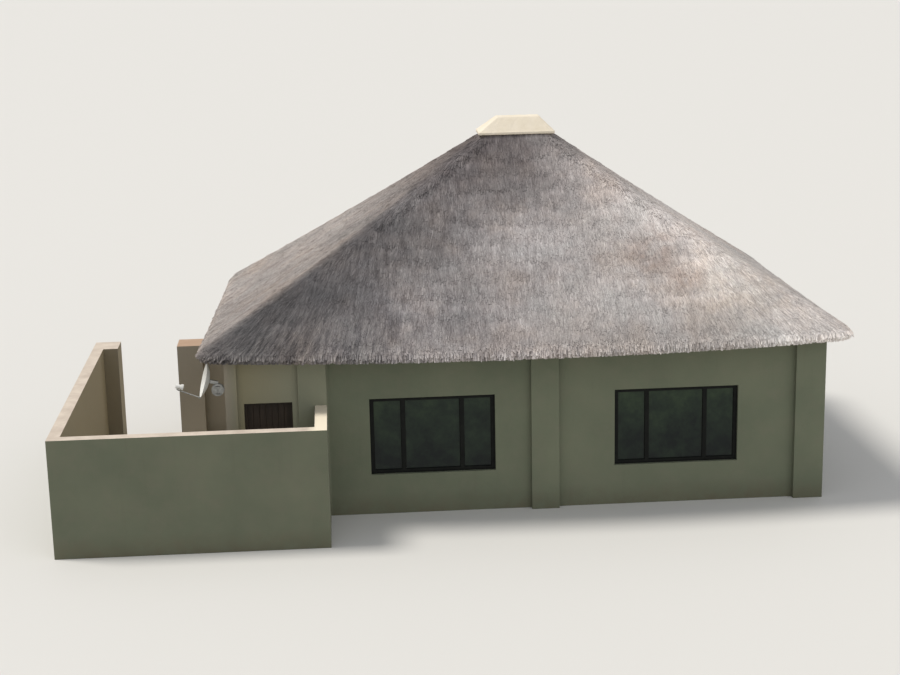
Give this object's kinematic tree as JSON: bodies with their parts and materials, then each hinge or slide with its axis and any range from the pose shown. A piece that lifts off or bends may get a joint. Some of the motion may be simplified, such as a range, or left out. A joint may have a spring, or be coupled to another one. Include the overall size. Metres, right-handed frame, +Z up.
{
  "type": "thatched rondavel-style hut",
  "caption": "Thatched rectangular hut with a soft hipped roof, cream ridge cap, plastered piers and walls, dark windows, a kitchen door and a walled yard.",
  "frame": {"origin": "on the underside of the floor slab, below the middle of the roof, at the level of the lowest ground", "axes": "+X along the front wall to the right as seen from the front, +Y from the front wall to the back, +Z up"},
  "size_m": [14.6936, 9.055, 7.015],
  "materials": {
    "plaster": "matte painted plaster",
    "concrete": "matte floated concrete",
    "window_bars": "satin dark bronze",
    "window_panes": "clear",
    "door_timber": "oiled dark red-brown",
    "door_metal": "satin",
    "thatch": "weathered grey thatching grass",
    "cap_mortar": "matte cream mortar",
    "dish_white": "satin white",
    "dish_steel": "galvanised"
  },
  "bodies": {
    "hut": {"floor_slab": "concrete", "door_sill": "concrete", "corner_piers": "plaster", "front_piers": "plaster", "back_piers": "plaster", "side_piers": "plaster", "wall_beside_door": "plaster", "wall_over_door": "plaster", "front_wall_left": "plaster", "front_wall_right": "plaster", "back_wall_plain": "plaster", "back_wall_left": "plaster", "back_wall_right": "plaster", "left_wall_front": "plaster", "left_wall_back": "plaster", "right_wall_front": "plaster", "right_wall_back": "plaster", "front_window_left": "window_bars", "front_window_right": "window_bars", "back_windows": "window_bars", "side_windows": "window_bars", "front_glass_left": "window_panes", "front_glass_right": "window_panes", "back_glass": "window_panes", "side_glass": "window_panes", "door_frame": "door_timber", "hinge_pins": "door_metal", "thatch_roof": "thatch", "ridge_cap": "cap_mortar", "yard_front_wall": "plaster", "yard_left_wall": "plaster", "yard_return_wall": "plaster", "yard_back_wall": "plaster", "gate_piers": "plaster", "dish": "dish_white", "dish_arm": "dish_steel", "dish_feed": "dish_white", "dish_bracket": "dish_steel"},
    "kitchen_door": {"door_leaf": "door_timber", "door_handles": "door_metal", "hinge_knuckles": "door_metal"}
  },
  "joints": [
    {"name": "kitchen_door_swing", "type": "hinge", "parent": "hut", "child": "kitchen_door", "pos_m": [-4.419, -3.073, 1.17], "axis": [0, 0, -1], "range_deg": [0, 95]}
  ]
}
